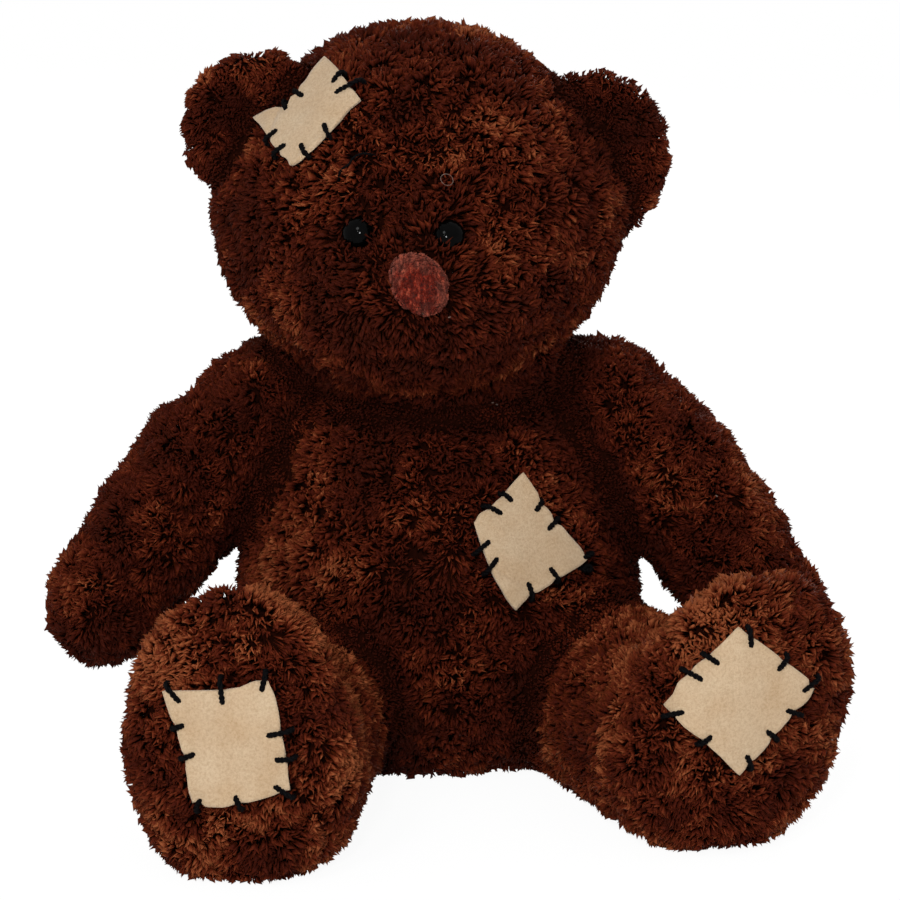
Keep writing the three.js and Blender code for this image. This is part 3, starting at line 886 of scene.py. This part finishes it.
# And where a patch lies a little off the solid's outline: from one pixel to another
redrawn = {
    "head_patch": [
        ((331, 59), (322, 57)), ((260, 120), (253, 120)), ((283, 162), (286, 166)),
        ((299, 147), (308, 154)), ((324, 127), (328, 134)), ((304, 91), (294, 94)),
    ],
    "belly_patch": [
        ((462, 524), (466, 518)), ((498, 566), (490, 566)), ((511, 587), (502, 588)),
        ((526, 610), (519, 610)), ((556, 568), (553, 573)), ((537, 587), (530, 588)),
        ((578, 554), (584, 560)),
    ],
    "foot_patch_right": [((275, 682), (271, 676)), ((294, 788), (288, 788)), ((193, 815), (187, 809))],
    "foot_patch_left": [((652, 704), (672, 706)), ((743, 775), (740, 774))],
}


def feltMaterial(plan):
    material, tree, shader = newMaterial("cream_felt")
    place = objectPlace(tree)
    cloud = cloudy(tree, place, plan["cloudScale"], detail=3.0)
    flecks = cloudy(tree, place, plan["fleckScale"], detail=3.0, roughness=0.7)
    hairs = addNode(tree, "ShaderNodeTexWave", {"Vector": place, **plan["hair"]}).outputs["Fac"]
    colour = ramp(tree, cloud, plan["clouds"])
    colour = mixColours(tree, plan["fleckShare"], colour, ramp(tree, flecks, plan["flecks"]), "MULTIPLY")
    colour = mixColours(tree, plan["hairShare"], colour, ramp(tree, hairs, plan["hairs"]), "MULTIPLY")
    finished(tree, shader, colour, 0.95, 0.1, plan["sheen"])
    bumped(tree, shader, *plan["bump"], plus(tree, times(tree, hairs, plan["hairHeight"]), flecks))
    return material


def stitchLine(name, patchMiddle, tree):
    points = pointsOf(name)
    middle = middleOf(points)
    far = max(points, key=lambda point: (point - middle).length)
    near = max(points, key=lambda point: (point - far).length)
    ends = sorted([far, near], key=lambda point: (point - patchMiddle).length)
    up = tree.find_nearest(middle)[1]
    along = (ends[1] - ends[0]).normalized()
    half = (ends[1] - ends[0]).length / 2
    return middle - along * half, middle + along * half, up


def patchMoves(patch):
    up = packed[patches[patch][1]].find_nearest(middleOf(pointsOf(patch)))[1]
    moves = []
    for pixels in redrawn[patch]:
        start, end = [pixelSpot(pixel, list(packed.values()))[0] for pixel in pixels]
        shift = end - start
        moves.append((start, shift - up * shift.dot(up)))
    return moves


def redraw(point, moves, reach):
    shifts = [shift * max(1 - ((point - start).length / reach) ** 2, 0) ** 2 for start, shift in moves]
    return point + sum(shifts, Vector())


def patchStitches(patch, moves, reach):
    carrier, prefix = patches[patch][1:]
    names = [name for name in nodes if name.startswith(prefix)]
    names.sort(key=lambda name: int(name.rsplit("_", 1)[1]))
    middle = middleOf(pointsOf(patch))
    stitches = []
    for name in names:
        inner, outer, up = stitchLine(name, middle, packed[carrier])
        stitches.append((redraw(inner, moves, reach), redraw(outer, moves, reach), up))
    return names, stitches


def lineDistance(point, start, end):
    across = end - start
    share = min(max((point - start).dot(across) / across.length_squared, 0), 1)
    return (point - start - across * share).length


def rimOf(bm, steps=6, sharp=1.0):
    spots = []
    for edge in bm.edges:
        if edge.calc_face_angle(0) > sharp:
            start, end = edge.verts
            spots += [start.co.lerp(end.co, i / steps) for i in range(steps)]
    return spots


def addPatch(name, plan):
    flat, carrier = patches[name][:2]
    bm = copyOf([name])
    middle = middleOf([vert.co for vert in bm.verts])
    up = packed[carrier].find_nearest(middle)[1]
    moves = patchMoves(name)
    for vert in bm.verts:
        vert.co = redraw(vert.co.copy(), moves, plan["redrawReach"])
    bm.normal_update()
    rim = rimOf(bm)
    bear = list(packed.values())
    crease = [pixelSpot(pixel, bear)[0] for pixel in creases.get(name, ())]
    crease = [spot + up * (middle - spot).dot(up) for spot in crease]
    worn = [pixelSpot(pixel, bear)[0] for pixel in wornCorners.get(name, ())]
    corners = [min(rim, key=lambda spot: (spot - corner).length) for corner in worn]
    bmesh.ops.subdivide_edges(bm, edges=bm.edges, cuts=plan["cuts"], use_grid_fill=True)
    names, stitches = patchStitches(name, moves, plan["redrawReach"])
    for vert in bm.verts:
        point = vert.co.copy()
        away = min((point - spot).length for spot in rim)
        edge = 1 - ease(away, 0, plan["edge"])
        lift = noise.noise(point / plan["waveLength"]) * plan["wave"]
        lift += plan["curl"] * edge * (plan["curlMean"] + noise.noise(point / plan["curlLength"]))
        for inner, outer, _ in stitches:
            near = lineDistance(point, inner, outer)
            lift -= plan["pinch"] * (1 - ease(near, plan["pinchNear"], plan["pinchReach"]))
            pull = plan["pull"] * edge * (1 - ease(near, 0, plan["pullReach"]))
            vert.co += (inner - outer).normalized() * pull
        if crease:
            level = point + up * (middle - point).dot(up)
            lift -= plan["crease"] * (1 - ease(lineDistance(level, *crease), 0, plan["creaseReach"]))
        for corner in corners:
            near = max(1 - (point - corner).length / plan["roundReach"], 0) ** 2
            vert.co += (middle - corner).normalized() * plan["round"] * near
        vert.co += up * lift
    bmesh.ops.smooth_vert(
        bm, verts=bm.verts, factor=plan["settling"], use_axis_x=True, use_axis_y=True, use_axis_z=True)
    mesh = meshOf(name, bm)
    mesh.materials.append(felt)
    mesh.shade_smooth()
    piece = addObject(name + "_felt", mesh)
    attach(piece, "root")
    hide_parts(name)
    faces = [face.vertices for face in mesh.polygons]
    return names, stitches, BVHTree.FromPolygons([vert.co for vert in mesh.vertices], faces)


felt = feltMaterial(feltPlan)
sewn = {patch: addPatch(patch, feltPlan) for patch in patches}
print("patches are sewn on")


# Thread: two plies twisted together

threadPlan = {
    "radius": 0.45 * mm,  # of one ply
    "twist": 2.3 * mm,  # length of one turn
    "steps": 22,
    "rise": 0.3 * mm,  # how far a stitch stands over the felt
    "innerDip": 0.9 * mm,  # how far its inner end goes into the felt
    "dip": 2.7 * mm,  # how far its outer end goes down into the pile
    "slope": 0.9 * mm,  # and how far on
    "short": 1.9 * mm,  # how much of its outer end the pile hides
    "top": 0.45,  # where it stands highest, as a share of its length
    "entry": 0.5 * mm,  # and half as high this far from its inner end
    "outerDip": 0.7 * mm,
    "over": 0.5 * mm,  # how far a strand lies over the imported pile
    "endDip": 3 * mm,  # and its ends under that
    "apart": 0.8,  # how far the plies are apart, in radii
}

blacks = [(0.35, rgb(2, 2, 3)), (0.7, rgb(11, 10, 11))]
thread = cloudyMaterial("black_thread", 3200.0, blacks, 0.7, 0.03, bump=(0.4, 0.1 * mm))


def curveThrough(points, share):
    spans = len(points) - 1
    i = min(int(share * spans), spans - 1)
    t = share * spans - i
    before, start = points[max(i - 1, 0)], points[i]
    end, after = points[i + 1], points[min(i + 2, spans)]
    return 0.5 * (2 * start + (end - before) * t + (2 * before - 5 * start + 4 * end - after) * t ** 2
                  + (3 * start - before - 3 * end + after) * t ** 3)


def addStrand(curve, points, radius=1.0):
    spline = curve.splines.new("POLY")
    spline.points.add(len(points) - 1)
    for knot, point in zip(spline.points, points):
        knot.co = (*point, 1)
        knot.radius = radius


def addTwisted(curve, points, plan, turn=0.0):
    steps = plan["steps"]
    line = [curveThrough(points, i / steps) for i in range(steps + 1)]
    length = sum((b - a).length for a, b in zip(line, line[1:]))
    for ply in (0, math.pi):
        strand = []
        for i, point in enumerate(line):
            along = (line[min(i + 1, steps)] - line[max(i - 1, 0)]).normalized()
            side = along.cross(Vector((0.2, 0.3, 0.93))).normalized()
            angle = turn + ply + 2 * math.pi * length / plan["twist"] * i / steps
            offset = side * math.cos(angle) + along.cross(side) * math.sin(angle)
            strand.append(point + offset * plan["radius"] * plan["apart"])
        addStrand(curve, strand)


def roundCurve(name, radius):
    curve = bpy.data.curves.new(name, "CURVE")
    curve.dimensions = "3D"
    curve.bevel_depth = radius
    curve.bevel_resolution = 1
    curve.use_fill_caps = True
    return curve


def solidCurve(name, curve, material):
    mesh = applied(addObject(name, curve))
    mesh.materials.append(material)
    mesh.shade_smooth()
    return addObject(name, mesh)


def threadPiece(name, lines, plan, replaced=()):
    curve = roundCurve(name, plan["radius"])
    for i, line in enumerate(lines):
        addTwisted(curve, line, plan, turn=i * 1.3)
    piece = solidCurve(name, curve, thread)
    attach(piece, "root")
    if replaced:
        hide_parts(*replaced)


def onFelt(point, up, felt, reach=4 * mm):
    return felt.ray_cast(point + up * reach, -up, 2 * reach)[0] or point


def stitchPoints(inner, outer, up, felt, plan):
    along = (outer - inner).normalized()
    outer = outer - along * plan["short"]
    start = onFelt(inner, up, felt)
    over = onFelt(inner.lerp(outer, plan["top"]), up, felt) + up * plan["rise"]
    return [
        start - up * plan["innerDip"], start + along * plan["entry"] + up * plan["rise"] / 2, over,
        outer - up * plan["outerDip"], outer + along * plan["slope"] - up * plan["dip"],
    ]


for patch, (names, stitches, felt) in sewn.items():
    lines = [stitchPoints(*stitch, felt, threadPlan) for stitch in stitches]
    threadPiece(patches[patch][2] + "thread", lines, threadPlan, names)

# A loose strand on the forehead and a knot beside the belly patch, by their pixels in the photograph

browPixels = [(334, 178), (341, 171), (349, 165), (354, 158), (364, 154), (378, 152)]
knotPixels = [(577, 566), (583, 570), (588, 571), (590, 568), (585, 566), (582, 569), (588, 568)]


def laidStrand(name, pixels, carrier, plan):
    spots = [pixelSpot(pixel, [packed[carrier]]) for pixel in pixels]
    line = [spot + normal * plan["over"] for spot, normal in spots]
    line[0] -= spots[0][1] * plan["endDip"]
    line[-1] -= spots[-1][1] * plan["endDip"]
    threadPiece(name, [line], plan)


strandPlan = {**threadPlan, "radius": 0.22 * mm, "twist": 1.8 * mm, "steps": 40, "over": 0.3 * mm}
laidStrand("brow_thread", browPixels, "head", strandPlan)
laidStrand("belly_knot", knotPixels, "body", {**threadPlan, "steps": 40})
print("threads are sewn")


# Eyes: glossy black beads on a shank

eyePlan = {
    "width": 8.4 * mm,
    "height": 3.6 * mm,
    "rim": 0.8 * mm,
    "shank": 3 * mm,
    "shankLength": 4.4 * mm,
    "arcSteps": 12,
    "steps": 40,
    "dustScale": 700.0,
    "blacks": [(0.4, (0.0003, 0.0003, 0.0003, 1)), (0.8, (0.001, 0.001, 0.001, 1))],
    "dustEnds": (0.45, 0.8),
    "clean": 0.03,  # roughness without dust
    "dusty": 0.14,
    "specular": 0.04,
}


def eyeMaterial(plan):
    material, tree, shader = newMaterial("black_bead")
    dust = cloudy(tree, objectPlace(tree), plan["dustScale"], detail=3.0)
    finished(tree, shader, ramp(tree, dust, plan["blacks"]), plan["clean"], plan["specular"])
    rough = fromTo(tree, dust, *plan["dustEnds"], plan["clean"], plan["dusty"])
    tree.links.new(rough, shader.inputs["Roughness"])
    return material


def addEye(side, plan, material):
    name = "eye_" + side
    points = pointsOf(name)
    axis = (middleOf(points) - middleOf(pointsOf("eye_washer_" + side))).normalized()
    top = max(points, key=lambda point: point.dot(axis))
    base = top - axis * plan["height"]
    half = plan["width"] / 2
    stem = plan["shank"] / 2
    dome = plan["height"] - plan["rim"]
    profile = [(0, -plan["shankLength"]), (stem, -plan["shankLength"]), (stem, 0), (half, 0)]
    for i in range(plan["arcSteps"] + 1):
        turn = i / plan["arcSteps"] * math.pi / 2
        profile.append((half * math.cos(turn), plan["rim"] + dome * math.sin(turn)))
    profile[-1] = (0, plan["height"])
    bm = bmesh.new()
    verts = [bm.verts.new((radius, 0, height)) for radius, height in profile]
    edges = [bm.edges.new(pair) for pair in zip(verts, verts[1:])]
    bmesh.ops.spin(bm, geom=verts + edges, cent=(0, 0, 0), axis=(0, 0, 1), angle=2 * math.pi,
                   steps=plan["steps"], use_merge=True, dvec=(0, 0, 0))
    bmesh.ops.remove_doubles(bm, verts=bm.verts, dist=weldDistance)
    bmesh.ops.recalc_face_normals(bm, faces=bm.faces)
    facing = axis.to_track_quat("Z", "Y").to_matrix().to_4x4()
    bmesh.ops.transform(bm, verts=bm.verts, matrix=Matrix.Translation(base) @ facing)
    mesh = meshOf(name, bm)
    mesh.materials.append(material)
    mesh.shade_smooth()
    piece = addObject(name + "_bead", mesh)
    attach(piece, "root")
    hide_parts(name)


bead = eyeMaterial(eyePlan)
for side in ("right", "left"):
    addEye(side, eyePlan, bead)
print("eyes are in")


# Nose: a padded oval, flocked with short pink fibre

nosePlan = {
    "cuts": 2,
    "dent": 0.9 * mm,
    "dentLength": 5.5 * mm,
    "sunk": 0.4 * mm,  # the flock stands on the pad, so the pad is this much smaller
    "flock": {
        "pitch": 0.2 * mm, "girth": 0.09 * mm, "overshoot": 1.0 * mm, "shortest": 0, "tuftPitch": 1.1 * mm,
        "tuftReach": 0.8 * mm, "gather": 0.5, "tuftLean": 0.9, "ownLean": 0.5, "swirl": 0.6, "spread": 0.2,
        "dome": 0.15, "paintedTopLight": 0, "seed": 400,
    },
    "cloudScale": 420.0,
    "cloudReach": 16 * mm,
    "fleckScale": 880.0,
    "frontDepth": 1.5 * mm,
    "frontDrop": 0.6 * mm,
    # The middle is redder where the flock is worn; the paler rim is painted sheen, as flock seen edge-on looks
    # paler.
    "middleReach": 4.0 * mm,  # the middle's colour reaches this far from the front
    "rimReach": 8.4 * mm,
    "rim": rgb(132, 66, 52),
    "middle": rgb(112, 28, 15),
    "fleckStretch": (1.0, 1.0, 0.35),
    "dark": rgb(40, 9, 8),
    "darkEnds": (0.42, 0.6),
    "darkShare": 0.8,
    "bright": rgb(176, 84, 60),
    "brightEnds": (0.3, 0.44),
    "brightShare": 0.7,
    "sheen": (0.1, 0.5, rgb(235, 170, 150)),
}


def noseMaterial(plan):
    material, tree, shader = newMaterial("pink_flock")
    place = objectPlace(tree)
    front = (noseSpot.x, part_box("nose")[0].y + plan["frontDepth"], noseSpot.z - plan["frontDrop"])
    away = vectorCalc(tree, "LENGTH", vectorCalc(tree, "SUBTRACT", place, front))
    cloud = cloudy(tree, place, plan["cloudScale"], detail=4.0)
    away = plus(tree, away, times(tree, minus(tree, cloud, 0.5), plan["cloudReach"]))
    share = fromTo(tree, away, plan["middleReach"], plan["rimReach"])
    colour = mixColours(tree, share, plan["middle"], plan["rim"])
    long = vectorCalc(tree, "MULTIPLY", place, plan["fleckStretch"])
    flecks = cloudy(tree, long, plan["fleckScale"], detail=3.0, roughness=0.65)
    dark = fromTo(tree, flecks, *plan["darkEnds"], 0.0, plan["darkShare"])
    colour = mixColours(tree, dark, colour, plan["dark"])
    bright = fromTo(tree, flecks, *plan["brightEnds"], plan["brightShare"], 0.0)
    colour = mixColours(tree, bright, colour, plan["bright"])
    finished(tree, shader, colour, 0.9, 0.1, plan["sheen"])
    return material


def addNose(plan):
    bm = copyOf(["nose"])
    bmesh.ops.subdivide_edges(bm, edges=bm.edges, cuts=plan["cuts"], use_grid_fill=True, smooth=1.0)
    bm.normal_update()
    for vert in bm.verts:
        lump = noise.noise(vert.co / plan["dentLength"]) * plan["dent"]
        vert.co += vert.normal * (lump - plan["sunk"])
    mesh = notedMesh("nose", bm, [(vert.co.copy(), 0.0, Vector(), 1.0, 1.0) for vert in bm.verts])
    mesh = grownOn("nose", mesh, {**pilePlan, **plan["flock"]}, pink, pink, None)
    piece = addObject("nose_flocked", mesh)
    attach(piece, "root")
    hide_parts("nose")


pink = noseMaterial(nosePlan)
addNose(nosePlan)
bpy.data.objects.remove(lock)


# Lint on the pile, by its pixels in the photograph

lintPixels = {"loop": (446, 182), "specks": [(448, 316), (490, 398), (494, 400), (827, 738), (715, 497)]}
lintPlan = {
    "loop": 1.65 * mm,
    "loopHeight": 1.55 * mm,
    "loopRise": 0.012 * mm,  # from step to step
    "loopSteps": 30,
    "loopOverlap": 3,
    "loopOval": 0.06,
    "thickness": 0.08 * mm,
    "speck": 0.3 * mm,
    "speckHeight": 1.7 * mm,
    "speckWidth": 2.2,
    "greys": [(0.3, rgb(62, 44, 36)), (0.7, rgb(112, 92, 82))],
}


def addLint(plan):
    material = cloudyMaterial("lint", 900.0, plan["greys"], 0.9)
    spot, normal = pixelSpot(lintPixels["loop"], [packed["head"]])
    side = normal.cross(Vector((0, 0, 1))).normalized()
    up = side.cross(normal)
    curve = roundCurve("lint", plan["thickness"])
    loop = []
    for i in range(plan["loopSteps"] + plan["loopOverlap"]):
        turn = 2 * math.pi * i / plan["loopSteps"]
        reach = plan["loop"] * (1 + plan["loopOval"] * math.sin(2 * turn))
        height = plan["loopHeight"] + plan["loopRise"] * i
        loop.append(spot + normal * height + (side * math.cos(turn) + up * math.sin(turn)) * reach)
    addStrand(curve, loop)
    for i, pixel in enumerate(lintPixels["specks"]):
        spot, normal = pixelSpot(pixel, list(packed.values()))
        start = spot + normal * plan["speckHeight"]
        side = normal.cross(Vector((0.3 * i - 0.5, 0.4, 1))).normalized() * plan["speck"]
        addStrand(curve, [start - side, start + normal * 0.2 * mm, start + side * 0.8], plan["speckWidth"])
    piece = solidCurve("lint", curve, material)
    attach(piece, "root")


addLint(lintPlan)


# What stays inside, from the CAD

def dressNode(name, material):
    nodes[name].data.materials.clear()
    nodes[name].data.materials.append(material)


whites = [(0.3, rgb(196, 190, 178)), (0.7, rgb(240, 237, 230))]
filling = cloudyMaterial("fibre_filling", 160.0, whites, 1.0, bump=(0.6, 0.8 * mm), detail=5.0, distortion=2.0)
greys = [(0.3, rgb(206, 206, 200)), (0.7, rgb(226, 226, 222))]
washer = cloudyMaterial("moulded_washer", 300.0, greys, 0.45)
for name in nodes:
    if name.endswith("_fill"):
        dressNode(name, filling)
    if name.startswith("eye_washer"):
        dressNode(name, washer)
